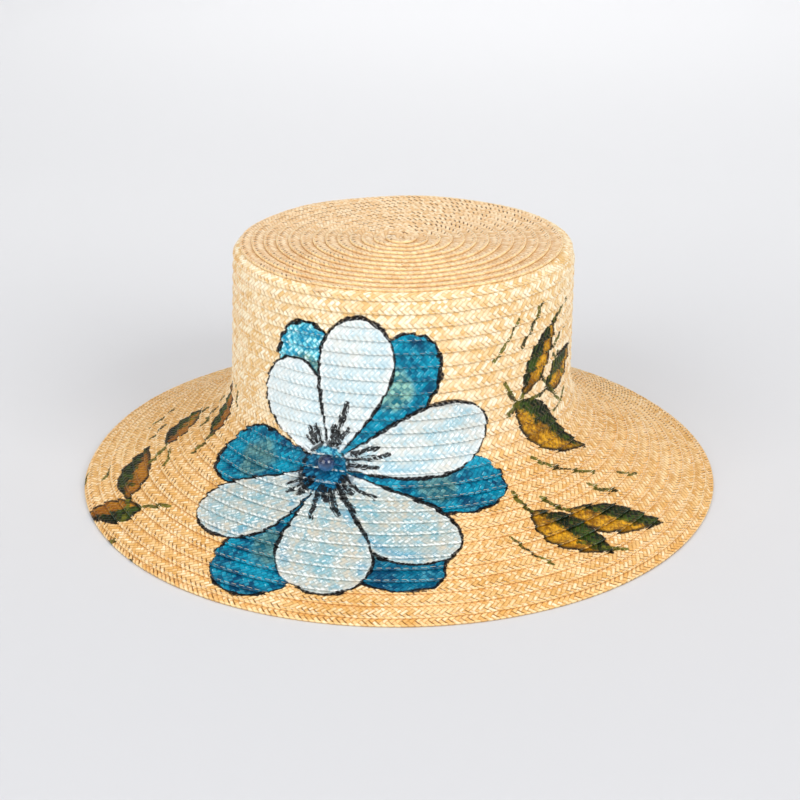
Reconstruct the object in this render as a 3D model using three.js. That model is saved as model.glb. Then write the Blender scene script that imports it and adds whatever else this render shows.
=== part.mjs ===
// A sewn straw hat: one long straw braid wound in a flat spiral for the tip, down the upright crown and
// out over a drooping brim, each turn lapping over the next, with a ribbon sweatband inside the crown and
// a bead sewn on the front. Millimetres, +Z up. The brim's edge stands on z = 0 and the front is -Y.
import * as THREE from "three";

// The hat's outer shape.
const HEIGHT = 131;
const TIP_RADIUS = 90.5;
const SHOULDER_RADIUS = 7;
const CROWN_FOOT_RADIUS = 93.5;
const BRIM_RADIUS = 175;
const BRIM_DROP = 39;
const CREASE_REACH = 21; // how far the soft crease between crown and brim spreads along each of them
const BRIM_SAG = 0.7; // how far the middle of the brim hangs below a straight line from crease to edge
const CROWN_LEAN = 3.3; // how far the tip has settled towards +X

// The straw braid.
const BRAID_WIDTH = 8.7;
const BRAID_THICKNESS = 1.1;
const FIRST_START = 2.6; // from the middle of the tip to the inner edge of the first full turn
const TIP_TURNS = 12;
const TIP_PITCH = 6.45; // what a turn shows of the braid; the turn before it laps over the rest
const SIDE_PITCH = 6.8; // the same below the tip, to the nearest whole number of turns
const CLEARANCE = 0.3;
const REST_WIDTH = 2; // the flat that the brim's edge stands on

// The ribbon sewn round inside the crown's foot.
const RIBBON_WIDTH = 26;
const RIBBON_THICKNESS = 0.7;
const RIBBON_INTO_CREASE = 8; // how far the ribbon's lower edge reaches into the soft crease

// The bead at the middle of the painted flower, and the thread through it.
const BEAD_RADIUS = 4.3;
const BEAD_BORE_RADIUS = 0.9;
const THREAD_RADIUS = 0.45;
const BEAD_AZIMUTH = -21; // degrees from the front towards +X
const BEAD_ARC = 177.5; // along the profile from the middle of the tip

// The cut end of braid that stands out where one length was joined to the next.
const SPLICE_SIZE = [5, 3.2, 0.6];
const SPLICE_AZIMUTH = -27;
const SPLICE_ARC = 89;

const STEPS_ROUND = 48;
const FULL_TURN = 2 * Math.PI;

const straw = new THREE.MeshStandardMaterial({ color: 0xe8c88c, roughness: 0.5, metalness: 0 });
const ribbon = new THREE.MeshStandardMaterial({ color: 0xe9dcc0, roughness: 0.85, metalness: 0 });
const pearl = new THREE.MeshStandardMaterial({ color: 0x17284a, roughness: 0.12, metalness: 0 });
const thread = new THREE.MeshStandardMaterial({ color: 0x1c3f66, roughness: 0.7, metalness: 0 });

// One turn of braid and the gap to the turn under it.
const layer = BRAID_THICKNESS + CLEARANCE;

// The outer profile from the middle of the tip to the brim's edge, as radius and height. The last turn
// lies one layer under its end.
function hatProfile() {
  const crease = new THREE.Vector2(CROWN_FOOT_RADIUS, BRIM_DROP);
  const edge = new THREE.Vector2(BRIM_RADIUS, layer + BRAID_THICKNESS);
  const shoulder = new THREE.Vector2(TIP_RADIUS, HEIGHT - SHOULDER_RADIUS);
  const upWall = shoulder.clone().sub(crease).normalize();
  const downBrim = edge.clone().sub(crease).normalize();
  const wallFoot = crease.clone().addScaledVector(upWall, CREASE_REACH);
  const brimStart = crease.clone().addScaledVector(downBrim, CREASE_REACH);
  const sagPoint = brimStart.clone().lerp(edge, 0.5);
  sagPoint.add(new THREE.Vector2(downBrim.y, -downBrim.x).multiplyScalar(2 * BRIM_SAG));

  const path = new THREE.Path();
  path.moveTo(0, HEIGHT);
  path.lineTo(TIP_RADIUS - SHOULDER_RADIUS, HEIGHT);
  path.absarc(TIP_RADIUS - SHOULDER_RADIUS, shoulder.y, SHOULDER_RADIUS, Math.PI / 2, 0, true);
  path.lineTo(wallFoot.x, wallFoot.y);
  path.quadraticCurveTo(crease.x, crease.y, brimStart.x, brimStart.y);
  path.quadraticCurveTo(sagPoint.x, sagPoint.y, edge.x, edge.y);
  return path;
}

const profile = hatProfile();
const profileLength = profile.getLength();
const flatTipLength = TIP_RADIUS - SHOULDER_RADIUS;
const wallStart = flatTipLength + (SHOULDER_RADIUS * Math.PI) / 2;
const wallLength = profile.curves.at(-3).getLength();
const creaseLength = profile.curves.at(-2).getLength();
const wallEnd = wallStart + wallLength;
const creaseEnd = wallEnd + creaseLength;

// The point at an arc length along the profile and a distance outside it, as radius and height.
function profilePoint(arc, outside) {
  const at = Math.min(Math.max(arc, 0), profileLength) / profileLength;
  const point = profile.getPoint(at);
  const along = profile.getTangent(at);
  return point.add(new THREE.Vector2(-along.y, along.x).multiplyScalar(outside));
}

// Radius and height turned to a place in space. Azimuth 0 is the front, and it grows towards +X.
function place(point, azimuth) {
  const lean = (CROWN_LEAN * point.y) / HEIGHT;
  return new THREE.Vector3(
    point.x * Math.sin(azimuth) + lean,
    -point.x * Math.cos(azimuth),
    point.y,
  );
}

const lastStart = profileLength - BRAID_WIDTH;
const sideStart = FIRST_START + TIP_TURNS * TIP_PITCH;
const sideTurns = Math.round((lastStart - sideStart) / SIDE_PITCH);
const sidePitch = (lastStart - sideStart) / sideTurns;
const rowCount = TIP_TURNS + sideTurns + 1;

// Arc length of the braid's inner edge after a number of turns.
function spiral(turns) {
  const onTip = Math.min(turns, TIP_TURNS);
  return FIRST_START + TIP_PITCH * onTip + sidePitch * (turns - onTip);
}

// The last turn stays where it starts, so that the brim's edge is a circle and the braid's end is tucked
// under.
function innerEdge(turns) {
  return Math.min(spiral(turns), lastStart);
}

// One turn of braid as a flat box bent round the hat, clockwise seen from above. It slants like a
// shingle, with its inner edge one layer below the turn before it.
function braidTurn(row, widthSteps) {
  const geometry = new THREE.BoxGeometry(1, 1, 1, STEPS_ROUND, widthSteps, 1);
  const isLast = row === rowCount - 1;
  const corner = geometry.getAttribute("position");
  for (let i = 0; i < corner.count; i++) {
    const part = corner.getX(i) + 0.5;
    const turns = row + part;
    const across = widthStation(corner.getY(i) + 0.5, widthSteps);
    const arc = innerEdge(turns) + across;
    const pitch = spiral(turns) - spiral(turns - 1);
    const slant = (layer * (spiral(turns) + BRAID_WIDTH - arc)) / pitch;
    const depth = isLast ? Math.max(slant, layer) : slant;
    const underside = corner.getZ(i) < 0;
    const point = profilePoint(arc, underside ? -depth - BRAID_THICKNESS : -depth);
    if (isLast && underside && across >= BRAID_WIDTH - REST_WIDTH) point.y = 0;
    const endGap = CLEARANCE / 2 / point.x;
    const turned = THREE.MathUtils.lerp(endGap, FULL_TURN - endGap, part);
    corner.setXYZ(i, ...place(point, Math.PI - turned));
  }
  geometry.computeVertexNormals();
  return geometry;
}

// Where the steps across the braid fall: on the edges of both laps, or for the last turn on the rest.
function widthStation(fraction, widthSteps) {
  const lap = BRAID_WIDTH - SIDE_PITCH;
  const stations = {
    1: [0, BRAID_WIDTH],
    2: [0, BRAID_WIDTH - REST_WIDTH, BRAID_WIDTH],
    3: [0, lap, BRAID_WIDTH - lap, BRAID_WIDTH],
  };
  return stations[widthSteps][Math.round(fraction * widthSteps)];
}

// A turn that lies on the bent shoulder or in the crease needs steps across its width.
function stepsAcross(row) {
  if (row === rowCount - 1) return 2;
  const from = innerEdge(row);
  const to = innerEdge(row + 1) + BRAID_WIDTH;
  const onShoulder = to > flatTipLength && from < wallStart;
  const inCrease = to > wallEnd && from < creaseEnd;
  return onShoulder || inCrease ? 3 : 1;
}

// The tightly wound start of the braid, whose spiral outline laps over the first turn.
function tipButton() {
  const outline = new THREE.Shape();
  for (let i = 0; i <= STEPS_ROUND; i++) {
    const part = i / STEPS_ROUND;
    const radius = spiral(part - 1) + BRAID_WIDTH;
    const azimuth = Math.PI - FULL_TURN * part;
    const corner = [radius * Math.sin(azimuth), -radius * Math.cos(azimuth)];
    if (i === 0) outline.moveTo(...corner);
    else outline.lineTo(...corner);
  }
  const geometry = new THREE.ExtrudeGeometry(outline, { depth: BRAID_THICKNESS, bevelEnabled: false });
  return geometry.translate(CROWN_LEAN, 0, HEIGHT - BRAID_THICKNESS);
}

// A profile of radius and height turned round the hat's axis, leaning as the crown does.
function turned(points) {
  const closed = [...points, points[0]];
  const geometry = new THREE.LatheGeometry(closed, STEPS_ROUND).rotateX(Math.PI / 2);
  const corner = geometry.getAttribute("position");
  for (let i = 0; i < corner.count; i++) {
    corner.setX(i, corner.getX(i) + (CROWN_LEAN * corner.getZ(i)) / HEIGHT);
  }
  return geometry;
}

// How far the inside of the lapped braid lies under the outer profile.
const braidDepth = (layer * BRAID_WIDTH) / sidePitch + BRAID_THICKNESS;

function sweatband() {
  const outer = -braidDepth - CLEARANCE;
  const inner = outer - RIBBON_THICKNESS;
  const lower = wallEnd + RIBBON_INTO_CREASE;
  const arcs = [lower - RIBBON_WIDTH, wallEnd, lower];
  const inside = arcs.map((arc) => profilePoint(arc, inner));
  const outside = arcs.map((arc) => profilePoint(arc, outer));
  return turned([...inside, ...outside.reverse()]);
}

// A frame on the hat's surface: x along the row, z straight out.
function surfaceFrame(azimuthDegrees, arc) {
  const azimuth = THREE.MathUtils.degToRad(azimuthDegrees);
  const at = profilePoint(arc, 0);
  const out = profilePoint(arc, 1).sub(at);
  const frame = new THREE.Group();
  const z = new THREE.Vector3(out.x * Math.sin(azimuth), -out.x * Math.cos(azimuth), out.y);
  const x = new THREE.Vector3(Math.cos(azimuth), Math.sin(azimuth), 0);
  const y = new THREE.Vector3().crossVectors(z, x);
  frame.applyMatrix4(new THREE.Matrix4().makeBasis(x, y, z).setPosition(place(at, azimuth)));
  return frame;
}

// A sphere with a straight bore along x, standing just clear of the braid.
function bead() {
  const ball = new THREE.Path();
  const poleAngle = Math.asin(BEAD_BORE_RADIUS / BEAD_RADIUS);
  ball.absarc(0, 0, BEAD_RADIUS, poleAngle - Math.PI / 2, Math.PI / 2 - poleAngle, false);
  const points = ball.getPoints(8);
  points.push(points[0].clone());
  return new THREE.LatheGeometry(points, 20).rotateZ(Math.PI / 2);
}

// The thread rises out of the braid, runs through the bore and goes down again on the other side.
function beadThread() {
  const reach = BEAD_RADIUS + 1.6;
  const low = -BEAD_RADIUS;
  const route = new THREE.CatmullRomCurve3([
    new THREE.Vector3(-reach - 0.4, 0, low),
    new THREE.Vector3(-reach, 0, low / 2),
    new THREE.Vector3(-reach + 1.4, 0, 0),
    new THREE.Vector3(0, 0, 0),
    new THREE.Vector3(reach - 1.4, 0, 0),
    new THREE.Vector3(reach, 0, low / 2),
    new THREE.Vector3(reach + 0.4, 0, low),
  ]);
  const section = new THREE.Shape().absarc(0, 0, THREAD_RADIUS, 0, FULL_TURN);
  return new THREE.ExtrudeGeometry(section, { extrudePath: route, steps: 28, curveSegments: 2 });
}

function addPiece(parent, name, geometry, material) {
  const mesh = new THREE.Mesh(geometry, material);
  mesh.name = name;
  parent.add(mesh);
}

// Rows are named after the part of the hat that the middle of the turn lies on.
function rowZone(row) {
  const middle = innerEdge(row + 0.5) + BRAID_WIDTH / 2;
  if (row < TIP_TURNS) return "tip_row";
  return middle < wallEnd + creaseLength / 2 ? "side_row" : "brim_row";
}

const hat = new THREE.Group();
addPiece(hat, "tip_button", tipButton(), straw);
const zoneCount = { tip_row: 0, side_row: 0, brim_row: 0 };
for (let row = 0; row < rowCount; row++) {
  const zone = rowZone(row);
  zoneCount[zone] += 1;
  const number = String(zoneCount[zone]).padStart(2, "0");
  addPiece(hat, `${zone}_${number}`, braidTurn(row, stepsAcross(row)), straw);
}
addPiece(hat, "sweatband", sweatband(), ribbon);

const splice = surfaceFrame(SPLICE_AZIMUTH, SPLICE_ARC);
const spliceEnd = new THREE.BoxGeometry(...SPLICE_SIZE).translate(0, 0, CLEARANCE + SPLICE_SIZE[2] / 2);
addPiece(splice, "braid_splice_end", spliceEnd, straw);
hat.add(splice);

const beadSeat = surfaceFrame(BEAD_AZIMUTH, BEAD_ARC);
const beadCentre = new THREE.Group();
beadCentre.position.z = BEAD_RADIUS + CLEARANCE;
addPiece(beadCentre, "bead", bead(), pearl);
addPiece(beadCentre, "bead_thread", beadThread(), thread);
beadSeat.add(beadCentre);
hat.add(beadSeat);

export default hat;
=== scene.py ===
import math

import bpy
import numpy as np
from mathutils import Matrix, Vector


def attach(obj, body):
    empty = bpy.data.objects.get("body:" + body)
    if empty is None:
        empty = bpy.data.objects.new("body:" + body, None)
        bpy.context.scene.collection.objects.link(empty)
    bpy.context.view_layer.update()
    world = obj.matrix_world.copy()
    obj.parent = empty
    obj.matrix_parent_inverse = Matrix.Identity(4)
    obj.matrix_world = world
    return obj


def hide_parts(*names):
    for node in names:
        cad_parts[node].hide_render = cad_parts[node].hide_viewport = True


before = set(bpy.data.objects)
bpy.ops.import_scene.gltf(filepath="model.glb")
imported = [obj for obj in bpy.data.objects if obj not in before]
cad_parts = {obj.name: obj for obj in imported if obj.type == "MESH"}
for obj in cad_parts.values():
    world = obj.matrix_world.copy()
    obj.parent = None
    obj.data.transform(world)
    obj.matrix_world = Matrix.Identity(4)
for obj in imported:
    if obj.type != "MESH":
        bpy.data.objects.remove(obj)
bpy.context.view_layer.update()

MM = 0.001

# The hat's shape in millimetres, as in the CAD. Every place on it is an azimuth (0 at the front, growing
# towards +X), an arc length along the profile from the middle of the tip, and a height over the profile.
HEIGHT = 131.0
TIP_RADIUS = 90.5
SHOULDER_RADIUS = 7.0
CROWN_FOOT_RADIUS = 93.5
BRIM_RADIUS = 175.0
BRIM_DROP = 39.0
CREASE_REACH = 21.0
BRIM_SAG = 0.7
CROWN_LEAN = 3.3
BRAID_WIDTH = 8.7
BRAID_THICKNESS = 1.1
LAYER = BRAID_THICKNESS + 0.3
FIRST_START = 2.6
TIP_TURNS = 12
TIP_PITCH = 6.45
SIDE_PITCH = 6.8
RIBBON_WIDTH = 26.0
RIBBON_INTO_CREASE = 8.0
RIB_PITCH = 0.9
BEAD_RADIUS = 4.3
BEAD_BORE_RADIUS = 0.9
THREAD_RADIUS = 0.45
BEAD_AZIMUTH = -21.0
BEAD_ARC = 177.5
SPLICE_AZIMUTH = -27.0
SPLICE_ARC = 89.0

# The plait: seven straws crossing at a slant, three lozenges wide.
STRAW_PITCH = 3.0
LOZENGES = 3
LOZENGE_WIDTH = BRAID_WIDTH / LOZENGES
FINENESS = 6  # mesh steps to each straw pitch
LEFT_STRAW_ON_TOP = np.array([0, 0, 1, 0, 0, 1, 1])  # for each column of lozenges, from the inner edge


# ---------------------------------------------------------------- the hat's surface


def hat_profile():
    """Points (radius, height) from the middle of the tip to the brim's edge, and the arc at each bend."""
    crease = np.array([CROWN_FOOT_RADIUS, BRIM_DROP])
    edge = np.array([BRIM_RADIUS, LAYER + BRAID_THICKNESS])
    shoulder = np.array([TIP_RADIUS, HEIGHT - SHOULDER_RADIUS])
    up_wall = (shoulder - crease) / np.linalg.norm(shoulder - crease)
    down_brim = (edge - crease) / np.linalg.norm(edge - crease)
    wall_foot = crease + up_wall * CREASE_REACH
    brim_start = crease + down_brim * CREASE_REACH
    sag_point = (brim_start + edge) / 2 + np.array([down_brim[1], -down_brim[0]]) * 2 * BRIM_SAG
    turn = np.linspace(0, math.pi / 2, 60)[:, None]
    middle = np.array([TIP_RADIUS - SHOULDER_RADIUS, shoulder[1]])

    def line(a, b):
        return a + (b - a) * np.linspace(0, 1, 80)[:, None]

    def bend(a, b, c):
        t = np.linspace(0, 1, 200)[:, None]
        return (1 - t) ** 2 * a + 2 * t * (1 - t) * b + t**2 * c

    stretches = [
        line(np.array([0.0, HEIGHT]), np.array([middle[0], HEIGHT])),
        middle + SHOULDER_RADIUS * np.hstack([np.sin(turn), np.cos(turn)]),
        line(shoulder, wall_foot),
        bend(wall_foot, crease, brim_start),
        bend(brim_start, sag_point, edge),
    ]
    lengths = [np.linalg.norm(np.diff(s, axis=0), axis=1).sum() for s in stretches]
    points = np.vstack([stretches[0]] + [s[1:] for s in stretches[1:]])
    return points, np.cumsum(lengths)


PROFILE, (_, _, WALL_END, CREASE_END, PROFILE_LENGTH) = hat_profile()
PROFILE_ARC = np.concatenate([[0.0], np.cumsum(np.linalg.norm(np.diff(PROFILE, axis=0), axis=1))])
TANGENT = np.gradient(PROFILE, PROFILE_ARC, axis=0)
TANGENT /= np.linalg.norm(TANGENT, axis=1)[:, None]


def radius_at(arc):
    return np.interp(arc, PROFILE_ARC, PROFILE[:, 0])


def on_hat(azimuth, arc, out):
    """Points in millimetres, for arrays that fit each other's shapes. Azimuth is in radians."""
    azimuth, arc, out = np.broadcast_arrays(azimuth, arc, out)
    along_r = np.interp(arc, PROFILE_ARC, TANGENT[:, 0])
    along_z = np.interp(arc, PROFILE_ARC, TANGENT[:, 1])
    radius = radius_at(arc) - along_z * out
    height = np.interp(arc, PROFILE_ARC, PROFILE[:, 1]) + along_r * out
    x = radius * np.sin(azimuth) + CROWN_LEAN * height / HEIGHT
    return np.stack([x, -radius * np.cos(azimuth), height], axis=-1)


SIDE_START = FIRST_START + TIP_TURNS * TIP_PITCH
LAST_START = PROFILE_LENGTH - BRAID_WIDTH
SIDE_TURNS = round((LAST_START - SIDE_START) / SIDE_PITCH)
TRUE_SIDE_PITCH = (LAST_START - SIDE_START) / SIDE_TURNS
ROWS = TIP_TURNS + SIDE_TURNS + 1
SIDE_ROWS = 14  # the turns after the tip that lie on the shoulder and the wall
LAST_SEAM = ROWS - 1.02  # the stitches end a little before the last turn does


def spiral(turns):
    """Arc length of the braid's inner edge after a number of turns."""
    on_tip = np.minimum(turns, TIP_TURNS)
    return FIRST_START + TIP_PITCH * on_tip + TRUE_SIDE_PITCH * (turns - on_tip)


def inner_edge(turns):
    return np.minimum(spiral(turns), LAST_START)


def braid_length_table():
    """Length of braid wound up after each small part of a turn, for turns from -1 to the last."""
    turns = np.linspace(-1, ROWS, 400 * (ROWS + 1) + 1)
    radius = np.maximum(radius_at(np.maximum(inner_edge(turns) + BRAID_WIDTH / 2, 0)), 2.5)
    step = 2 * math.pi * (radius[1:] + radius[:-1]) / 2 * np.diff(turns)
    return turns, np.concatenate([[0.0], np.cumsum(step)])


TURN_TABLE, LENGTH_TABLE = braid_length_table()


def wave(azimuth, arc, seed, size):
    """A gentle unevenness over the hat, the same on each run, from -1 to 1."""
    total = 0.0
    for n in range(4):
        k = seed * 1.7 + n
        around = round(2 + 3 * n + 2 * math.sin(k * 5.1))
        total = total + np.sin(around * azimuth + arc / (size * (1 + 0.4 * n)) + 9 * math.sin(k))
    return total / 4


# ---------------------------------------------------------------- the plait


def straw_level(column, states):
    """How high a straw runs where it crosses the columns of lozenges: 1 over, -1 under."""
    below = np.floor(column).astype(int)
    part = column - below
    ease = 0.5 - 0.5 * np.cos(math.pi * part)
    low = states[np.clip(below, 0, len(states) - 1)]
    high = states[np.clip(below + 1, 0, len(states) - 1)]
    return low + (high - low) * ease


def plait_relief(a, b, across):
    """Height of the plait's face over its mean in millimetres. a and b count the straws of each slant."""
    states = 2.0 * LEFT_STRAW_ON_TOP - 1
    tiny = 1e-4
    own_a, own_b = np.floor(a + tiny), np.floor(b + tiny)
    side_a, side_b = a - own_a - 0.5, b - own_b - 0.5
    rise, edge_drop = 0.24, 0.34
    height_a = rise * straw_level(own_a - b + 0.5, states) - edge_drop * np.abs(2 * side_a) ** 4
    height_b = rise * straw_level(a - own_b - 0.5, -states) - edge_drop * np.abs(2 * side_b) ** 4
    face = np.maximum(height_a, height_b) - 0.1
    from_joint = np.abs(a - np.round(a))
    near_fold = np.exp(-(((across - BRAID_WIDTH + 1.6) / 0.8) ** 2))
    return face - 0.48 * near_fold * np.exp(-((from_joint / 0.13) ** 2))


def row_surface(turns, across):
    """Azimuth in radians, arc and height over the profile of the braid's face, before its relief."""
    part = turns - np.floor(turns)
    azimuth = math.pi - 2 * math.pi * part
    arc = inner_edge(turns) + across
    pitch = spiral(turns) - spiral(turns - 1)
    slant = LAYER * (spiral(turns) + BRAID_WIDTH - arc) / pitch
    out = np.where(turns >= ROWS - 1, np.minimum(-slant, -LAYER), -slant)
    loose = np.where(turns >= ROWS - 1, 0, np.clip(across / BRAID_WIDTH, 0, 1) ** 3)
    out = out + 0.12 * loose * wave(azimuth * 9, arc, 3, 4.0)
    return azimuth, arc, out + 0.35 * wave(azimuth, arc, 1, 31.0)


def row_stations(lap):
    """Where the mesh lines across the braid run: on its face from the inner to the outer edge, and back."""
    step = LOZENGE_WIDTH / FINENESS
    face = np.arange(0, BRAID_WIDTH + step / 2, step)
    hidden = face < lap - 0.6
    face = np.concatenate([face[hidden][::2], face[~hidden]])
    back = np.array([0.97, 0.8, 0.6, 0.4, 0.2, 0.03]) * BRAID_WIDTH
    return face, back


def braid_row(row):
    """One turn of the braid: its points, and what its materials read at each point."""
    lap = BRAID_WIDTH - (TIP_PITCH if row < TIP_TURNS else TRUE_SIDE_PITCH)
    face, back = row_stations(lap)
    start, end = np.interp([row, row + 1], TURN_TABLE, LENGTH_TABLE)
    step = STRAW_PITCH / FINENESS
    inside = np.arange(math.ceil(start / step + 0.2), math.floor(end / step - 0.2) + 1) * step
    wound = np.concatenate([[start], inside, [end]])[:, None]
    turns = np.interp(wound, LENGTH_TABLE, TURN_TABLE)
    part = turns - row
    azimuth = math.pi - 2 * math.pi * part

    across = np.concatenate([face, back])[None, :]
    is_back = np.arange(across.size)[None, :] >= face.size
    a = wound / STRAW_PITCH + across / LOZENGE_WIDTH
    b = wound / STRAW_PITCH - across / LOZENGE_WIDTH
    relief = plait_relief(a, b, across)
    fold = np.abs(2 * (a - np.floor(a)) - 1) ** 3
    scallop = 0.3 * fold * np.clip(across / BRAID_WIDTH, 0, 1) ** 12
    _, arc, out = row_surface(np.minimum(turns, row + 0.999999), across - scallop)
    if row < 0:  # the tight start of the coil fills the middle of the tip
        outer = spiral(turns) + BRAID_WIDTH
        arc = 0.35 + (outer - 0.35) * across / BRAID_WIDTH - scallop
        out = -LAYER * (outer - arc) / TIP_PITCH * part
    past = np.clip((across - (BRAID_WIDTH - 0.5)) / 0.5, 0, 1)
    edge_lift = -0.2 * np.clip((across / BRAID_WIDTH - 0.75) / 0.1, 0, 1)
    if row == ROWS - 1:
        edge_lift = -edge_lift
    out = out + np.where(is_back, edge_lift - BRAID_THICKNESS, relief - 0.3 * past**2)
    points = on_hat(azimuth, arc, out)
    points[..., 2] = np.maximum(points[..., 2], 0)
    if row == ROWS - 1:
        rest = is_back & (across >= 0.9 * BRAID_WIDTH)
        points[..., 2] = np.where(rest, 0, points[..., 2])
    return {
        "points": points,
        "a": a,
        "b": b,
        "across": across,
        "relief": np.where(is_back, 0, relief),
        "azimuth": np.degrees(azimuth) + 0 * a,
        "arc": arc + 0 * a,
        "unpainted": np.broadcast_to(is_back & (across < 0.95 * BRAID_WIDTH), a.shape),
    }


# ---------------------------------------------------------------- meshes


def tube_faces(rings, around):
    """Quads between successive rings of points, for a closed section."""
    i = np.arange(rings - 1)[:, None]
    j = np.arange(around)[None, :]
    nxt = (j + 1) % around
    corners = [i * around + j, i * around + nxt, (i + 1) * around + nxt, (i + 1) * around + j]
    return np.stack([c + 0 * (i + j) for c in corners], axis=-1).reshape(-1, 4)


def tube_ends(rings, around):
    """The two faces that close a tube."""
    ring = np.arange(around)
    return [ring[::-1], (rings - 1) * around + ring]


def new_mesh(name, points, quads, caps=(), smooth=True):
    """A mesh object from millimetre points, quads and a few faces of any size."""
    mesh = bpy.data.meshes.new(name)
    points = np.asarray(points, np.float64).reshape(-1, 3) * MM
    corners = np.concatenate([np.asarray(quads).reshape(-1)] + [np.asarray(c) for c in caps])
    sizes = np.concatenate([np.full(len(quads), 4), [len(c) for c in caps]]).astype(np.int32)
    mesh.vertices.add(len(points))
    mesh.vertices.foreach_set("co", points.astype(np.float32).reshape(-1))
    mesh.loops.add(len(corners))
    mesh.loops.foreach_set("vertex_index", corners.astype(np.int32))
    mesh.polygons.add(len(sizes))
    starts = np.concatenate([[0], np.cumsum(sizes)[:-1]]).astype(np.int32)
    mesh.polygons.foreach_set("loop_start", starts)
    mesh.polygons.foreach_set("use_smooth", np.full(len(sizes), smooth))
    mesh.update(calc_edges=True)
    mesh.validate()
    piece = bpy.data.objects.new(name, mesh)
    bpy.context.scene.collection.objects.link(piece)
    return piece


def set_number(piece, name, values):
    layer = piece.data.attributes.new(name, "FLOAT", "POINT")
    layer.data.foreach_set("value", np.asarray(values, np.float32).reshape(-1))


def set_vector(piece, name, columns):
    layer = piece.data.attributes.new(name, "FLOAT_VECTOR", "POINT")
    stacked = np.stack(np.broadcast_arrays(*columns), axis=-1)
    layer.data.foreach_set("vector", stacked.astype(np.float32).reshape(-1))


def set_uv(piece, u, v, spare, corner):
    """The map for baking: a place for each corner of the quads, and one place for the spare corners."""
    uv = np.stack([u.reshape(-1), v.reshape(-1)], axis=-1)
    uv = np.concatenate([uv, np.full((spare, 2), corner)])
    layer = piece.data.uv_layers.new(name="OFBake")
    layer.data.foreach_set("uv", uv.astype(np.float32).reshape(-1))


def strip_uv(piece, rings, around, length, girth, caps):
    """A UV map that cuts a long closed strip into bands, so that its maps have room."""
    bands = max(1, round(math.sqrt(length / girth)))
    ring = np.repeat(np.arange(rings - 1), around)
    place = np.tile(np.arange(around), rings - 1)
    per_band = math.ceil((rings - 1) / bands)
    band = ring // per_band
    left = (ring - band * per_band) / per_band
    right = (ring + 1 - band * per_band) / per_band
    low = (band + 0.04 + 0.92 * place / around) / bands
    high = (band + 0.04 + 0.92 * (place + 1) / around) / bands
    u = np.stack([left, left, right, right], axis=-1) * 0.99 + 0.005
    v = np.stack([low, high, high, low], axis=-1)
    set_uv(piece, u, v, caps, 0.002)


# ---------------------------------------------------------------- the painting

# A generic flower with leaves. Places are given by azimuth in degrees and arc length in millimetres.
# Headings are degrees counted from +X towards the tip of the crown, on the surface laid flat.
FLOWER_MIDDLE = (-21.5, 177.5)
FLOWER_SCALE = 1.75  # millimetres to a degree of azimuth round the flower's middle
SMALLEST_SCALE = 1.6  # and at the top of the wall
# Heading, length and half width of each pale petal, and the length of the blue one behind it.
PETALS = [
    (130, 60, 21, 74),
    (77, 78, 21, 84),
    (14, 88, 18, 90),
    (-40, 75, 18, 82),
    (-77, 74, 17, 82),
    (-130, 66, 18, 68),
]
TEAL_PLACE, TEAL_REACH = 0.62, 13.0  # where a blue petal has its teal spot, and how far that reaches
BACK_TURN = 0.4  # how far a blue petal is turned towards the next pale one
INK_START, INK_REACH = 12.0, 0.42  # where the dark strokes start, and the share of the petal they reach
# Azimuth, arc, heading, length and half width of each leaf.
LEAVES = [
    (50, 132, 50, 46, 8.5),
    (64, 145, 20, 40, 9),
    (51, 172, -43, 60, 11),
    (36, 229, -66, 42, 9),
    (48, 233, -48, 44, 8.5),
    (-74, 235, 150, 36, 9),
    (-64, 254, -120, 30, 7),
    (-86, 205, 140, 32, 8),
    (-76, 177, 125, 34, 8),
]
LEAF_STEM = 13.0
GRASS_GAP = 9.0


def laid(azimuth, arc, heading, along, aside):
    """Azimuth and arc of points at distances along a heading and to its left."""
    turn = math.radians(heading)
    u = along * math.cos(turn) - aside * math.sin(turn)
    v = along * math.sin(turn) + aside * math.cos(turn)
    return np.stack([azimuth + u / FLOWER_SCALE, arc - v], axis=-1)


def petal_outline(heading, length, half):
    """A petal that is narrow at the flower's middle and round at its end."""
    share = (1 - np.cos(np.linspace(0, math.pi, 25))) / 2
    side = half * np.sqrt(np.sin(math.pi * share**1.9))
    along = length * np.concatenate([share, share[::-1]])
    return laid(*FLOWER_MIDDLE, heading, along, np.concatenate([side, -side[::-1]]))


def leaf_outline(azimuth, arc, heading, length, half):
    """A leaf with a pointed end at both sides, fuller towards its stem."""
    share = np.linspace(0, 1, 17)
    side = half * np.sin(math.pi * share**0.85)
    along = length * (np.concatenate([share, share[::-1]]) - 0.5)
    return laid(azimuth, arc, heading, along, np.concatenate([side, -side[::-1]]))


def back_petals():
    """Heading, length and half width of the blue petals, each turned towards the next pale one."""
    following = PETALS[1:] + PETALS[:1]
    for (heading, _, half, length), (next_heading, *_) in zip(PETALS, following):
        gap = (heading - next_heading) % 360
        yield heading - BACK_TURN * gap, length, half * 0.95


def ink_strokes():
    """Three dark strokes out from the middle on each pale petal."""
    for i, (heading, length, _, _) in enumerate(PETALS):
        for k, turned in enumerate((-11, 0, 11)):
            reach = INK_REACH * length * (0.8 + 0.2 * math.sin(5 * i + 3 * k))
            start = INK_START + 2 * math.sin(3 * i + k)
            along = np.linspace(start, reach, 5)
            curve = 0.7 * np.sin(np.linspace(0, 3, 5) + i)
            yield laid(*FLOWER_MIDDLE, heading + turned, along, curve), 0.75 + 0.3 * math.cos(2 * i + 5 * k)


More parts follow.
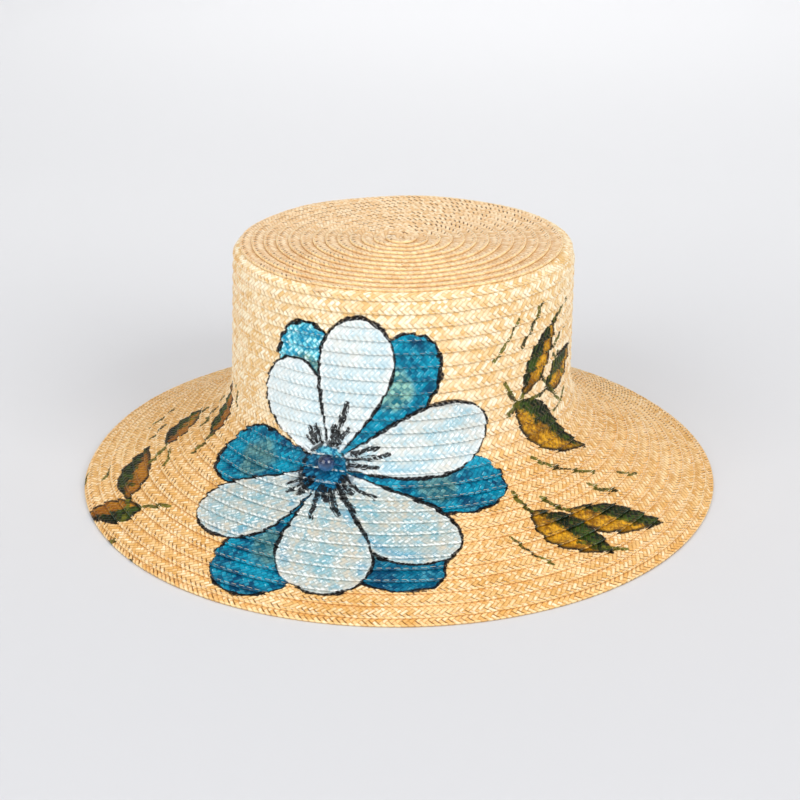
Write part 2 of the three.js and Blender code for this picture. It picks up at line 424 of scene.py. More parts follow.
def green_strokes():
    """A stem at each leaf, and loose grass beside it."""
    for i, (azimuth, arc, heading, length, half) in enumerate(LEAVES):
        along = -length / 2 - LEAF_STEM * np.linspace(0, 1, 5)
        yield laid(azimuth, arc, heading, along, 3 * np.linspace(0, 1, 5) ** 2), 0.9
        for k, side in enumerate((-1, 1, 1.7)):
            middle = length * 0.2 * math.sin(4 * i + 2 * k)
            along = middle + length * (0.2 + 0.08 * math.sin(7 * i + k)) * np.linspace(-1, 1, 4)
            aside = side * (half + GRASS_GAP) + 0.8 * np.linspace(-1, 1, 4) ** 2
            yield laid(azimuth, arc, heading, along, aside), 0.5 + 0.12 * math.cos(3 * i + k)


FAR = 30.0


def smooth_line(points):
    """Points along a smooth curve through the given ones."""
    knots = np.array(points, float)
    p = knots[np.clip(np.arange(-1, len(knots) + 1), 0, len(knots) - 1)]
    t = np.linspace(0, 1, 9)[:-1, None]
    out = []
    for a, b, c, d in zip(p[:-3], p[1:-2], p[2:-1], p[3:]):
        square, cube = 2 * a - 5 * b + 4 * c - d, 3 * b - a - 3 * c + d
        out.append(0.5 * (2 * b + (c - a) * t + square * t**2 + cube * t**3))
    return np.vstack(out + [knots[-1:]])


def distance_to(line, azimuth, arc, radius):
    """Distance in millimetres from points on the hat to a line of points."""
    scale = np.radians(1) * radius
    best = np.full(azimuth.shape, FAR)
    for (az0, arc0), (az1, arc1) in zip(line[:-1], line[1:]):
        dx, dy = (az1 - az0) * scale, arc1 - arc0
        px, py = (azimuth - az0) * scale, arc - arc0
        t = np.clip((px * dx + py * dy) / np.maximum(dx * dx + dy * dy, 1e-9), 0, 1)
        best = np.minimum(best, np.hypot(px - t * dx, py - t * dy))
    return best


def is_inside(line, azimuth, arc):
    inside = np.zeros(azimuth.shape, bool)
    for (az0, arc0), (az1, arc1) in zip(line[:-1], line[1:]):
        if arc0 == arc1:
            continue
        crosses = (arc0 > arc) != (arc1 > arc)
        inside ^= crosses & (azimuth < (az1 - az0) * (arc - arc0) / (arc1 - arc0) + az0)
    return inside


def near_line(line, azimuth, arc, margin=6.0):
    low, high = line.min(axis=0), line.max(axis=0)
    around = margin / SMALLEST_SCALE
    return (
        (azimuth > low[0] - around) & (azimuth < high[0] + around)
        & (arc > low[1] - margin) & (arc < high[1] + margin)
    )


def shape_depth(outline, azimuth, arc, radius):
    """How far inside a closed outline each point lies, negative outside."""
    line = np.concatenate([outline, outline[:1]])
    depth = np.full(azimuth.shape, -FAR)
    near = near_line(line, azimuth, arc)
    if near.any():
        az, at = azimuth[near], arc[near]
        distance = distance_to(line, az, at, radius[near])
        depth[near] = np.where(is_inside(line, az, at), distance, -distance)
    return depth


def stroke_depth(line, half, azimuth, arc, radius):
    """How far inside a brush stroke each point lies, negative outside."""
    depth = np.full(azimuth.shape, -FAR)
    near = near_line(line, azimuth, arc)
    if near.any():
        depth[near] = half - distance_to(line, azimuth[near], arc[near], radius[near])
    return depth


def unsteady(azimuth, arc, amount, seed):
    """The place a painter's hand strayed to, for each point, with shifts of about amount millimetres."""
    u, v = azimuth * FLOWER_SCALE, arc
    sideways = np.sin(0.95 * u + 2.2 * np.sin(0.33 * v + seed))
    sideways = sideways + np.sin(0.6 * v + 1.9 * np.sin(0.45 * u + 2 * seed))
    along = np.sin(0.9 * v + 2.0 * np.sin(0.37 * u + 3 * seed))
    along = along + np.sin(0.55 * u + 1.8 * np.sin(0.5 * v + seed))
    return azimuth + amount * sideways / FLOWER_SCALE / 2, arc + amount * along / 2


def paint_layers(azimuth, arc):
    """What the paint needs at each point: depths inside the painted shapes, in millimetres."""
    radius = radius_at(arc)
    steady = unsteady(azimuth, arc, 0.35, 1.0)
    ragged = unsteady(azimuth, arc, 0.85, 2.0)

    def depth(outline, hand=steady):
        return shape_depth(outline, *hand, radius)

    petals = [depth(petal_outline(heading, length, half)) for heading, length, half, _ in PETALS]
    backs = [depth(petal_outline(*petal), ragged) for petal in back_petals()]
    white = np.max(petals, axis=0)
    blue = np.max(backs, axis=0)
    petal_line, over = np.full(azimuth.shape, FAR), np.full(azimuth.shape, -FAR)
    for petal in reversed(petals):  # the last petal lies on top
        petal_line = np.minimum(petal_line, np.maximum(np.abs(petal), over))
        over = np.maximum(over, petal)
    back_line = np.maximum(np.min(np.abs(backs), axis=0), white)
    leaves = [depth(leaf_outline(*leaf)) for leaf in LEAVES]
    in_leaf = np.max(leaves, axis=0)
    which = np.argmax(leaves, axis=0)
    scale = np.radians(1) * radius

    middles = np.array(LEAVES, float)[which]
    turn = np.radians(middles[:, 2])
    u = (azimuth - middles[:, 0]) * scale
    v = middles[:, 1] - arc
    green = (v * np.cos(turn) - u * np.sin(turn)) / (0.8 * middles[:, 4])
    teal = np.zeros(azimuth.shape)
    for heading, length, _ in back_petals():
        spot_azimuth, spot_arc = laid(*FLOWER_MIDDLE, heading, TEAL_PLACE * length, 0.0)
        teal = np.maximum(teal, 1.3 - np.hypot((azimuth - spot_azimuth) * scale, arc - spot_arc) / TEAL_REACH)
    strokes, ink = (
        np.max([stroke_depth(p, w, *steady, radius) for p, w in group], axis=0)
        for group in (green_strokes(), ink_strokes())
    )
    x = (azimuth - FLOWER_MIDDLE[0]) * FLOWER_SCALE
    y = FLOWER_MIDDLE[1] - arc
    return {
        "petals": (white, blue, teal),
        "lines": (np.minimum(petal_line, back_line), ink, strokes),
        "leaves": (in_leaf, green, 0.0),
        "flower": (x, y, np.hypot(x, y)),
    }


NO_PAINT = {
    "petals": (-FAR, -FAR, 0.0),
    "lines": (FAR, -FAR, -FAR),
    "leaves": (-FAR, 0.0, 0.0),
    "flower": (99.0, 99.0, 140.0),
}


# ---------------------------------------------------------------- materials


class Value:
    """A number worked out by a material's nodes, which can be added, subtracted and multiplied."""

    def __init__(self, nodes, socket):
        self.nodes = nodes
        self.socket = socket

    def __add__(self, other):
        return self.nodes.math("ADD", self, other)

    def __sub__(self, other):
        return self.nodes.math("SUBTRACT", self, other)

    def __rsub__(self, other):
        return self.nodes.math("SUBTRACT", other, self)

    def __mul__(self, other):
        return self.nodes.math("MULTIPLY", self, other)

    __radd__ = __add__
    __rmul__ = __mul__


class Nodes:
    """Builds a material's node tree from short expressions. Colours have values from 0 to 255."""

    def __init__(self, name):
        self.material = bpy.data.materials.new(name)
        self.material.use_nodes = True
        self.tree = self.material.node_tree
        self.tree.nodes.clear()
        self.out = self.tree.nodes.new("ShaderNodeOutputMaterial")

    def put(self, socket, value):
        value = value.socket if isinstance(value, Value) else value
        if isinstance(value, bpy.types.NodeSocket):
            self.tree.links.new(value, socket)
        elif isinstance(value, (tuple, list)) and len(value) == 3 and socket.type == "RGBA":
            socket.default_value = (*rgb(*value), 1.0)
        else:
            socket.default_value = value

    def math(self, operation, a, b=0.0, c=0.0, clamp=False):
        node = self.tree.nodes.new("ShaderNodeMath")
        node.operation = operation
        node.use_clamp = clamp
        for socket, value in zip(node.inputs, (a, b, c)):
            self.put(socket, value)
        return Value(self, node.outputs[0])

    def most(self, a, b):
        return self.math("MAXIMUM", a, b)

    def size(self, a):
        return self.math("ABSOLUTE", a)

    def about(self, value, amount):
        """A value from 0 to 1 turned to one round zero."""
        return (value - 0.5) * amount

    def fit(self, value, low, high, to_low=0.0, to_high=1.0, smooth=True):
        """value from low to high turned to a share from to_low to to_high."""
        node = self.tree.nodes.new("ShaderNodeMapRange")
        node.interpolation_type = "SMOOTHSTEP" if smooth else "LINEAR"
        for socket, number in zip(node.inputs[:5], (value, low, high, to_low, to_high)):
            self.put(socket, number)
        return Value(self, node.outputs[0])

    def attribute(self, name, output="Vector"):
        node = self.tree.nodes.new("ShaderNodeAttribute")
        node.attribute_name = name
        return Value(self, node.outputs[output])

    def split(self, vector):
        node = self.tree.nodes.new("ShaderNodeSeparateXYZ")
        self.put(node.inputs[0], vector)
        return [Value(self, output) for output in node.outputs]

    def parts(self, name):
        return self.split(self.attribute(name))

    def vector(self, x, y, z=0.0):
        node = self.tree.nodes.new("ShaderNodeCombineXYZ")
        for socket, value in zip(node.inputs, (x, y, z)):
            self.put(socket, value)
        return node.outputs[0]

    def position(self):
        return self.tree.nodes.new("ShaderNodeTexCoord").outputs["Object"]

    def noise(self, vector, scale, detail=2.0, roughness=0.5):
        node = self.tree.nodes.new("ShaderNodeTexNoise")
        self.put(node.inputs["Vector"], vector)
        self.put(node.inputs["Scale"], scale)
        self.put(node.inputs["Detail"], detail)
        self.put(node.inputs["Roughness"], roughness)
        return Value(self, node.outputs["Fac"])

    def chance(self, vector):
        node = self.tree.nodes.new("ShaderNodeTexWhiteNoise")
        node.noise_dimensions = "3D"
        self.put(node.inputs["Vector"], vector)
        return Value(self, node.outputs["Value"])

    def mix(self, share, a, b):
        node = self.tree.nodes.new("ShaderNodeMix")
        node.data_type = "RGBA"
        for socket, value in zip((node.inputs[0], node.inputs[6], node.inputs[7]), (share, a, b)):
            self.put(socket, value)
        return node.outputs[2]

    def coats(self, color, *layers):
        """A colour with others laid over it, each given by the factors of its share and its tone."""
        for share, *factors, tone in layers:
            for factor in factors:
                share = share * factor
            color = self.mix(share, color, tone)
        return color

    def blend(self, share, a, b):
        """A number from a to b."""
        node = self.tree.nodes.new("ShaderNodeMix")
        node.data_type = "FLOAT"
        for socket, value in zip((node.inputs[0], node.inputs[2], node.inputs[3]), (share, a, b)):
            self.put(socket, value)
        return Value(self, node.outputs[0])

    def bump(self, height, distance, strength=1.0):
        node = self.tree.nodes.new("ShaderNodeBump")
        self.put(node.inputs["Strength"], strength)
        self.put(node.inputs["Distance"], distance)
        self.put(node.inputs["Height"], height)
        return node.outputs["Normal"]

    def finish(self, color, roughness, normal=None, **values):
        shader = self.tree.nodes.new("ShaderNodeBsdfPrincipled")
        self.put(shader.inputs["Base Color"], color)
        self.put(shader.inputs["Roughness"], roughness)
        if normal is not None:
            self.put(shader.inputs["Normal"], normal)
        for name, value in values.items():
            self.put(shader.inputs[name.replace("_", " ")], value)
        self.tree.links.new(shader.outputs[0], self.out.inputs["Surface"])
        return self.material


def rgb(red, green, blue):
    """Linear colour from the usual 0 to 255 values."""
    return tuple(
        c / 12.92 if c <= 0.04045 else ((c + 0.055) / 1.055) ** 2.4
        for c in (red / 255, green / 255, blue / 255)
    )


def straw_nodes(n, light, dark, lines=1.0, slits=1.0, shine=0.75, rim=0.6):
    """Colour, roughness and grain of plaited straw, from the straws' own coordinates. The colour holds
    painted highlights and painted shade.
    """
    a, b, across = n.parts("plait")
    relief = n.attribute("relief", "Fac")
    own_a, own_b = n.math("FLOOR", a), n.math("FLOOR", b)
    column = own_a - own_b
    a_on_top = n.math(
        "ADD", n.math("COMPARE", column, 2.0, 0.5), n.math("GREATER_THAN", column, 4.5), clamp=True
    )
    part_a, part_b = n.math("FRACT", a), n.math("FRACT", b)
    side = n.blend(a_on_top, part_b, part_a)
    along = n.blend(a_on_top, a, b)
    straw = n.blend(a_on_top, own_b + 0.37, own_a)
    dye = n.chance(n.vector(straw, a_on_top, 2.0))
    facet = n.chance(n.vector(straw, a_on_top, column))
    place = n.position()
    patch = n.noise(place, 46.0, 3.0, 0.65)
    broad = n.noise(place, 11.0, 2.0, 0.5)
    fine = n.noise(place, 900.0, 2.0, 0.6)
    streak = n.noise(n.vector(along * 0.8, side * 9.0, straw * 3.1), 1.0, 3.0, 0.65)
    from_middle = n.size(side * 2.0 - 1.0)
    edge = n.math("POWER", from_middle, 4.0)
    to_joint = (0.5 - n.size(part_a - 0.5)) * STRAW_PITCH

    ripe = patch * 0.55 + (dye * 0.3 + (facet * 0.3 + broad * 0.3))
    color = n.mix(n.fit(ripe, 0.45, 0.98), dark, light)
    color = n.coats(
        color,
        (n.fit(streak, 0.5, 0.78, 0.0, 0.5), (214, 158, 84)),
        (n.fit(streak, 0.46, 0.22, 0.0, 0.6), (255, 244, 216)),
    )
    # painted highlight: a pale stripe down the middle of some lozenges, stronger in patches
    lozenge_highlight = n.fit(from_middle, 0.75, 0.1) * n.fit(facet, 0.45, 1.0)
    lozenge_highlight = lozenge_highlight * n.fit(n.noise(place, 120.0, 2.0, 0.6), 0.38, 0.6, 0.25, 1.15)
    color = n.mix(lozenge_highlight * shine, color, (255, 249, 228))
    near_lap = n.fit(across, BRAID_WIDTH - 3.4, BRAID_WIDTH - 1.6, 0.0, 0.34)
    color = n.mix(near_lap * n.fit(broad, 0.3, 0.7), color, (226, 158, 80))
    edge = edge * lines
    color = n.mix(edge * n.fit(fine, 0.3, 0.6, 0.5, 0.95), color, (166, 104, 40))
    # painted shade: some of the slits between the straws near the fold are darkened
    in_fold = n.fit(across, 5.3, 6.3) * n.fit(across, 8.15, 7.7)
    slit_shade = n.fit(to_joint, 0.6, 0.24) * in_fold
    slit_shade = slit_shade * n.fit(n.chance(n.vector(n.math("ROUND", a), 5.0, 1.0)), 0.3, 0.7)
    slit_shade = slit_shade * slits
    color = n.mix(slit_shade, color, (92, 48, 6))
    # painted highlight: a pale line along the braid's folded outer edge, where it catches the light
    fold_highlight = n.fit(across, 8.05, 8.35) * n.fit(fine, 0.3, 0.6, 0.35, 1.0)
    fold_highlight = fold_highlight * n.fit(patch * 0.6 + dye * 0.5, 0.3, 0.75, 0.35, 1.0)
    color = n.mix(fold_highlight * rim, color, (254, 228, 172))
    rough = n.blend(n.fit(ripe, 0.45, 0.98), 0.46, 0.36)
    grain = streak * 0.6 + n.fit(edge, 0.2, 1.0) * -0.5
    # where the paint gets painted highlights: glints along one side of some straws, and the straws' crests
    glint = n.fit(side, 0.68, 0.8) * n.fit(side, 0.97, 0.88) * n.fit(facet, 0.5, 0.75)
    glint = glint * n.fit(fine, 0.35, 0.6)
    crest_highlight = n.fit(relief, -0.02, 0.1) * n.fit(from_middle, 0.85, 0.35)
    return color, rough, grain, relief, (streak, facet, edge, slit_shade, glint, crest_highlight)


def straw_material(name):
    n = Nodes(name)
    # painted shade: the tip's straw gets tones a little darker than the wall's
    color, rough, grain, _, _ = straw_nodes(
        n, (248, 220, 178), (228, 188, 136), lines=0.65, slits=1.0, shine=0.4, rim=0.85
    )
    return n.finish(color, rough, n.bump(grain, 0.00012, 0.7), Specular_IOR_Level=0.35)


def painted_straw_material(name):
    n = Nodes(name)
    place = n.position()
    _, _, up = n.split(place)
    # painted light and shade: the same straw gets paler tones on the wall and darker ones on the brim
    on_wall = n.fit(up, 0.030, 0.062)
    light = n.mix(on_wall, (250, 215, 157), (255, 242, 208))
    dark = n.mix(on_wall, (224, 172, 96), (232, 192, 128))
    straw, rough, grain, relief, (streak, facet, edge, slit_shade, glint, crest_highlight) = straw_nodes(
        n, light, dark, n.blend(on_wall, 1.0, 0.5), n.blend(on_wall, 0.75, 0.3), n.blend(on_wall, 0.5, 0.8)
    )
    _, _, across = n.parts("plait")
    white, blue, teal = n.parts("petals")
    line, ink, strokes = n.parts("lines")
    leaf, green, _ = n.parts("leaves")
    x, y, away = n.parts("flower")
    angle = n.math("ARCTAN2", y, x)
    rough_edge = n.about(n.noise(place, 560.0, 2.0, 0.7), 2.0)
    wander = n.about(n.noise(place, 120.0, 2.0, 0.6), 2.2)
    brush = n.noise(n.vector(angle * 11.0, away * 0.045, 3.0), 1.0, 3.0, 0.65)
    wash = n.noise(place, 75.0, 3.0, 0.6)
    fine = n.noise(place, 420.0, 3.0, 0.65)
    crown = n.fit(relief, -0.32, 0.02)
    reach = n.fit(relief, -0.95, -0.65)
    # painted shade on the paint, in the lines between the straws and in the slits
    crease_shade = n.most(edge, slit_shade)
    low_petals = n.fit(y, -4.0, -16.0)

    def cover(depth, soft=0.3, ragged=0.8):
        uneven = depth + rough_edge * ragged
        return n.fit(uneven, -soft, soft) * reach

    # the blue petals behind
    deep = n.mix(n.fit(wash + facet * 0.25, 0.4, 0.8), (0, 62, 96), (0, 146, 176))
    shaded = n.fit(x, 14.0, 34.0) * n.fit(y, -22.0, -38.0)
    deep = n.mix(shaded * 0.5, deep, (0, 64, 98))
    bright = n.mix(n.fit(fine + facet * 0.5, 0.5, 0.95), (0, 148, 188), (132, 230, 242))
    up_left = n.fit(y, 10.0, 34.0) * n.fit(x, 4.0, -10.0)
    blues = n.mix(up_left * 0.85 + n.fit(brush, 0.55, 0.8, 0.0, 0.35), deep, bright)
    teal_tone = (brush + fine) * 0.38 + facet * 0.28
    green_blue = n.mix(n.fit(teal_tone, 0.32, 0.75), (4, 104, 122), (158, 206, 186))
    green_blue = n.coats(
        green_blue,
        (n.fit(fine, 0.62, 0.72, 0.0, 0.6), (176, 150, 84)),
        (n.fit(y, 6.0, -4.0, 0.0, 0.6), (0, 78, 100)),
    )
    blues = n.coats(
        blues,
        (n.fit(teal + n.about(wash, 1.2), 0.3, 0.75), green_blue),
        # painted shade in the creases between the straws
        (crease_shade, n.blend(up_left, 0.55, 0.9), (0, 48, 78)),
    )
    # painted highlights on the blue: glints along the straws and on their crests
    spark = glint * n.fit(fine, 0.42, 0.58)
    blues = n.mix(spark * n.blend(up_left, 0.7, 0.85), blues, (158, 222, 236))
    lit = crest_highlight * (n.fit(fine, 0.42, 0.6) * n.fit(facet, 0.25, 0.6))
    sheen = n.most(glint, lit)
    highlight_tone = n.mix(up_left, (90, 178, 202), (232, 246, 250))
    blues = n.mix(lit * n.blend(up_left, 0.16, 0.8), blues, highlight_tone)
    blue_cover = cover(blue)
    color = n.mix(blue_cover, straw, blues)

    # the pale petals in front
    base = n.mix(low_petals, (214, 219, 216), (187, 191, 183))
    sky = n.mix(low_petals, (158, 198, 210), (122, 176, 188))
    pale = n.mix(n.fit(wash * 0.8 + brush * 0.45, 0.52, 0.82), base, sky)
    pale = n.mix(n.fit(facet, 0.62, 0.95, 0.0, 0.4), pale, (150, 196, 210))
    beige = n.fit(wash * 0.6 + facet * 0.6, 0.5, 0.22)
    beige = beige * n.blend(low_petals, 0.35, 0.7)
    pale = n.coats(
        pale,
        (beige, (216, 202, 178)),
        (n.fit(brush, 0.46, 0.3), n.blend(low_petals, 0.2, 0.5), (206, 194, 172)),
        (n.fit(brush, 0.56, 0.72), n.blend(low_petals, 0.25, 0.55), (100, 164, 182)),
        (n.fit(away, 34.0, 12.0, 0.0, 0.35), (170, 196, 206)),
        # painted shade in the creases between the straws
        (crease_shade, 0.3, (128, 156, 166)),
        (n.fit(streak, 0.42, 0.2), 0.6, (250, 252, 252)),
    )
    low_wash = n.fit(white, 8.5, 5.0) * n.fit(white, 1.2, 3.0) * n.fit(wash, 0.46, 0.6)
    pale = n.mix(low_wash * n.blend(low_petals, 0.12, 0.5), pale, (74, 150, 184))
    high = n.fit(y - x * 0.6, 2.0, 14.0)
    high = high * n.blend(n.fit(x, -4.0, -14.0), 0.28, 0.55)
    pale = n.mix(high, pale, (234, 244, 245))
    rim_reach = 2.6 + n.about(wash, 5.0)
    near_rim = n.fit(white - rim_reach, 1.0, -1.6)
    # a paler rim inside each petal, and painted highlights at the glints and crests
    pale = n.coats(
        pale,
        (near_rim, n.blend(low_petals, 0.36, 0.2), (250, 249, 246)),
        (sheen, 0.75, (252, 253, 250)),
    )
    in_middle = 15.5 - away - n.fit(blue, 0.2, 1.2, 0.0, 12.0)
    white_depth = n.most(white, in_middle)
    petal_cover = cover(white_depth, 0.3, 0.7) * n.blend(crown, 0.86, 1.0)
    color = n.mix(petal_cover, color, pale)

    # the disc under the bead, and the smudges beside it
    aside, over = x + 1.2, y + 3.4
    from_disc = n.math("SQRT", aside * aside + over * over)
    beside = n.fit(n.size(aside) - n.size(over), -5.0, 5.0)
    smudge = n.fit(from_disc, 21.0, 13.0) * n.fit(fine + brush * 0.5, 0.66, 0.78)
    color = n.mix(smudge * n.blend(beside, 0.25, 0.8) * reach, color, (34, 66, 92))
    uneven = wander * 1.8 + rough_edge * 1.2
    eye = n.fit(from_disc + uneven, 12.3, 11.3)
    eye_color = n.mix(n.fit(wash + facet * 0.35, 0.42, 0.8), (0, 52, 86), (0, 108, 148))
    # painted highlights: lighter at the disc's top and at the glints; painted shade in the creases
    eye_color = n.coats(
        eye_color,
        (n.fit(over, 5.0, 10.0), n.fit(fine, 0.4, 0.62), (110, 206, 224)),
        (sheen, 0.35, (96, 190, 214)),
        (crease_shade, 0.5, (0, 30, 52)),
    )
    color = n.mix(eye * reach, color, eye_color)
    from_rim = n.size(from_disc + uneven * 0.7 - 12.4)
    rim_ink = n.fit(from_rim, 1.7, 0.7) * n.fit(n.noise(place, 210.0, 2.0, 0.6), 0.47, 0.55)

    # outlines and dark strokes
    hairs = n.fit(streak * 0.6 + fine * 0.6, 0.46, 0.62)
    swell = (n.noise(place, 34.0, 1.0) - 0.5) * n.fit(away, 16.0, 34.0, 1.0, 2.4)
    ink_width = n.fit(away, 14.0, 34.0, 0.5, 0.85) + swell + wander * 0.7
    outline = cover(ink_width - line, 0.25, 0.75)
    outline = outline * n.fit(away, 9.5, 12.5) * n.blend(crown, 0.75, 1.0)
    stroke = n.fit(ink + (rough_edge * 0.8 + wander * 0.6), -0.9, -0.45)
    split = n.noise(n.vector(angle * 26.0, away * 0.12, 5.0), 1.0, 2.0, 0.6)
    stroke = stroke * n.fit(split + n.fit(ink, -0.2, 0.9) * 0.16, 0.37, 0.45)
    worn = n.most(n.fit(relief + n.about(fine, 0.5), -0.3, -0.12), n.fit(ink, 0.25, 0.7))
    stroke = stroke * worn * n.blend(hairs, 0.88, 1.0)
    black = n.mix(n.fit(wash + facet * 0.2, 0.45, 0.75), (5, 3, 3), (22, 18, 21))
    dark_cover = n.most(outline * n.blend(hairs, 0.93, 1.0), stroke * 0.98)
    dark_cover = n.most(dark_cover, rim_ink * 0.85)
    color = n.mix(dark_cover, color, black)

    # leaves
    leaf_wash = green + n.about(n.noise(place, 230.0, 3.0, 0.75), 1.7)
    ripe = n.fit(wash * 0.5 + fine * 0.6, 0.45, 0.7)
    ochre = n.mix(ripe, (134, 86, 6), (228, 168, 38))
    greens = n.mix(n.fit(wash + facet * 0.3, 0.5, 0.85), (10, 26, 8), (54, 76, 18))
    ochre = n.mix(n.fit(x, -50.0, -80.0, 0.0, 0.6), ochre, (150, 84, 26))
    leaf_color = n.mix(n.fit(leaf_wash, -0.2, 0.25), ochre, greens)
    # a dark border inside the leaf, and painted shade along the straws' edges
    leaf_color = n.coats(
        leaf_color,
        (n.fit(leaf, 2.2, 0.8, 0.0, 0.75), (20, 26, 8)),
        (edge, 0.4, (16, 14, 6)),
    )
    leaf_cover = cover(leaf, 0.3, 0.8) * n.blend(crown, 0.88, 1.0)
    color = n.mix(leaf_cover, color, leaf_color)
    leaf_line = cover(0.5 + wander * 0.45 - n.size(leaf), 0.25, 0.7)
    color = n.mix(leaf_line * 0.92, color, (22, 15, 11))

    # stems and loose strokes, dry on the crests of the straws
    dry = n.fit(relief + n.about(fine, 0.6), -0.26, -0.1)
    dry = n.most(dry, n.fit(strokes, 0.2, 0.6))
    dabs = rough_edge * 0.8 + wander * 0.6
    green_stroke = n.fit(strokes + dabs, -0.75, -0.3) * dry
    olive = n.mix(n.fit(wash + facet * 0.3, 0.5, 0.85), (26, 34, 6), (104, 104, 24))
    color = n.mix(green_stroke * 0.95, color, olive)

    painted = n.most(n.most(blue_cover, petal_cover), n.most(leaf_cover, eye))
    # a pale line along each row's fold edge in the paint: partly bare edge, partly painted highlight
    rim_start = n.blend(petal_cover, BRAID_WIDTH - 0.55, BRAID_WIDTH - 1.0)
    bare_edge_and_highlight = n.fit(across - rim_start, 0.0, 0.3) * n.fit(fine, 0.4, 0.55)
    bare_edge_and_highlight = bare_edge_and_highlight * painted * n.blend(n.most(petal_cover, eye), 0.12, 0.75)
    bare_edge_and_highlight = bare_edge_and_highlight * (1.0 - dark_cover)
    color = n.mix(bare_edge_and_highlight, color, n.mix(petal_cover, (176, 196, 190), (240, 243, 238)))
    rough = n.blend(dark_cover, n.blend(painted, rough, 0.36), 0.75)
    return n.finish(color, rough, n.bump(grain, 0.00014, 0.8), Specular_IOR_Level=0.15)


def pearl_material(height):
    n = Nodes("pearl")
    place = n.position()
    _, _, up = n.split(place)
    # painted reflection: the lower part of the pearl is lighter and bluer, like the brim mirrored in it
    brim_reflection = n.fit(up, MM * (height + 2.5), MM * (height - 3.0))
    swirl = n.noise(place, 160.0, 3.0, 0.6)
    color = n.mix(n.fit(swirl, 0.35, 0.7), (4, 22, 52), (12, 46, 94))
    color = n.mix(brim_reflection * n.fit(swirl, 0.3, 0.6, 0.45, 0.85), color, (78, 132, 186))
    return n.finish(color, 0.14, Coat_Weight=0.8, Coat_Roughness=0.05, Specular_IOR_Level=0.4)


def thread_material(name, low, high, painted=False):
    n = Nodes(name)
    twist = n.tree.nodes.new("ShaderNodeTexWave")
    n.put(twist.inputs["Vector"], n.position())
    n.put(twist.inputs["Scale"], 900.0)
    n.put(twist.inputs["Distortion"], 2.0)
    color = n.mix(twist.outputs["Fac"], low, high)
    if painted:
        white, blue, _ = n.parts("petals")
        line, ink, _ = n.parts("lines")
        leaf, _, _ = n.parts("leaves")
        _, y, _ = n.parts("flower")
        worn = n.fit(n.noise(n.position(), 350.0, 2.0), 0.4, 0.6)
        soaked = n.blend(worn, 0.95, 0.6) * n.fit(y, -8.0, 4.0, 0.5, 1.0)
        color = n.coats(
            color,
            (n.fit(blue, -0.3, 0.3), soaked, (14, 96, 130)),
            (n.fit(white, -0.3, 0.3), 0.8, (214, 224, 222)),
        )
        dark = n.most(n.fit(line, 1.3, 0.7), n.fit(ink, -0.4, 0.2))
        color = n.coats(
            color,
            (dark, n.blend(worn, 0.95, 0.7), (20, 18, 20)),
            (n.fit(leaf, -0.3, 0.3), 0.95, (56, 56, 20)),
        )
    return n.finish(color, 0.55, n.bump(twist.outputs["Fac"], 0.00005, 0.5), Specular_IOR_Level=0.3)


def ribbon_material():
    n = Nodes("ribbon")
    rib, width, _ = n.parts("ribbon")
    ribs = n.size(n.math("FRACT", rib) * 2.0 - 1.0)
    weave = n.noise(n.vector(rib * 2.0, width * 6.0, 0.0), 1.0, 3.0, 0.7)
    color = n.mix(n.fit(ribs, 0.5, 1.0), (236, 226, 202), (204, 190, 158))
    color = n.mix(n.fit(weave, 0.5, 0.8, 0.0, 0.4), color, (188, 172, 138))
    return n.finish(color, 0.8, n.bump(ribs + weave * 0.4, 0.0001, 0.8))


def floor_material():
    n = Nodes("paper_floor")
    _, back, _ = n.split(n.position())
    # painted shade: the paper is darker in front and lighter towards the back
    color = n.mix(n.fit(back, -0.35, 0.6), (209, 209, 211), (230, 230, 231))
    return n.finish(color, 0.9, Specular_IOR_Level=0.1)


# ---------------------------------------------------------------- the pieces


def ride_as(piece, slot, material, *nodes):
    piece.data.materials.append(material)
    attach(piece, "root")
    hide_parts(*nodes)
    return piece


def make_row(row, name, slot, material):
    data = braid_row(row)
    rings, around = data["points"].shape[:2]
    quads = tube_faces(rings, around)
    piece = new_mesh("braid_" + name, data["points"], quads, tube_ends(rings, around))
    set_vector(piece, "plait", (data["a"], data["b"], data["across"]))
    set_number(piece, "relief", data["relief"])
    if not name.startswith("tip"):
        azimuth, arc = data["azimuth"].reshape(-1), data["arc"].reshape(-1)
        back = data["unpainted"].reshape(-1)
        for layer, columns in paint_layers(azimuth, arc).items():
            columns = [np.where(back, blank, c) for c, blank in zip(columns, NO_PAINT[layer])]
            set_vector(piece, layer, columns)
    length = float(np.diff(np.interp([row, row + 1], TURN_TABLE, LENGTH_TABLE))[0])
    strip_uv(piece, rings, around, length, 2.2 * BRAID_WIDTH, 2 * around)
    return ride_as(piece, slot, material, name)


def make_braid():
    tip = straw_material("straw_tip")
    painted = painted_straw_material("straw_painted")
    make_row(-1, "tip_button", "straw_tip", tip)
    counts = {"tip": 0, "side": 0, "brim": 0}
    for row in range(ROWS):
        middle = inner_edge(row + 0.5) + BRAID_WIDTH / 2
        foot = (WALL_END + CREASE_END) / 2
        zone = "tip" if row < TIP_TURNS else "side" if middle < foot else "brim"
        counts[zone] += 1
        material = tip if zone == "tip" else painted
        make_row(row, f"{zone}_row_{counts[zone]:02d}", "straw_" + zone, material)


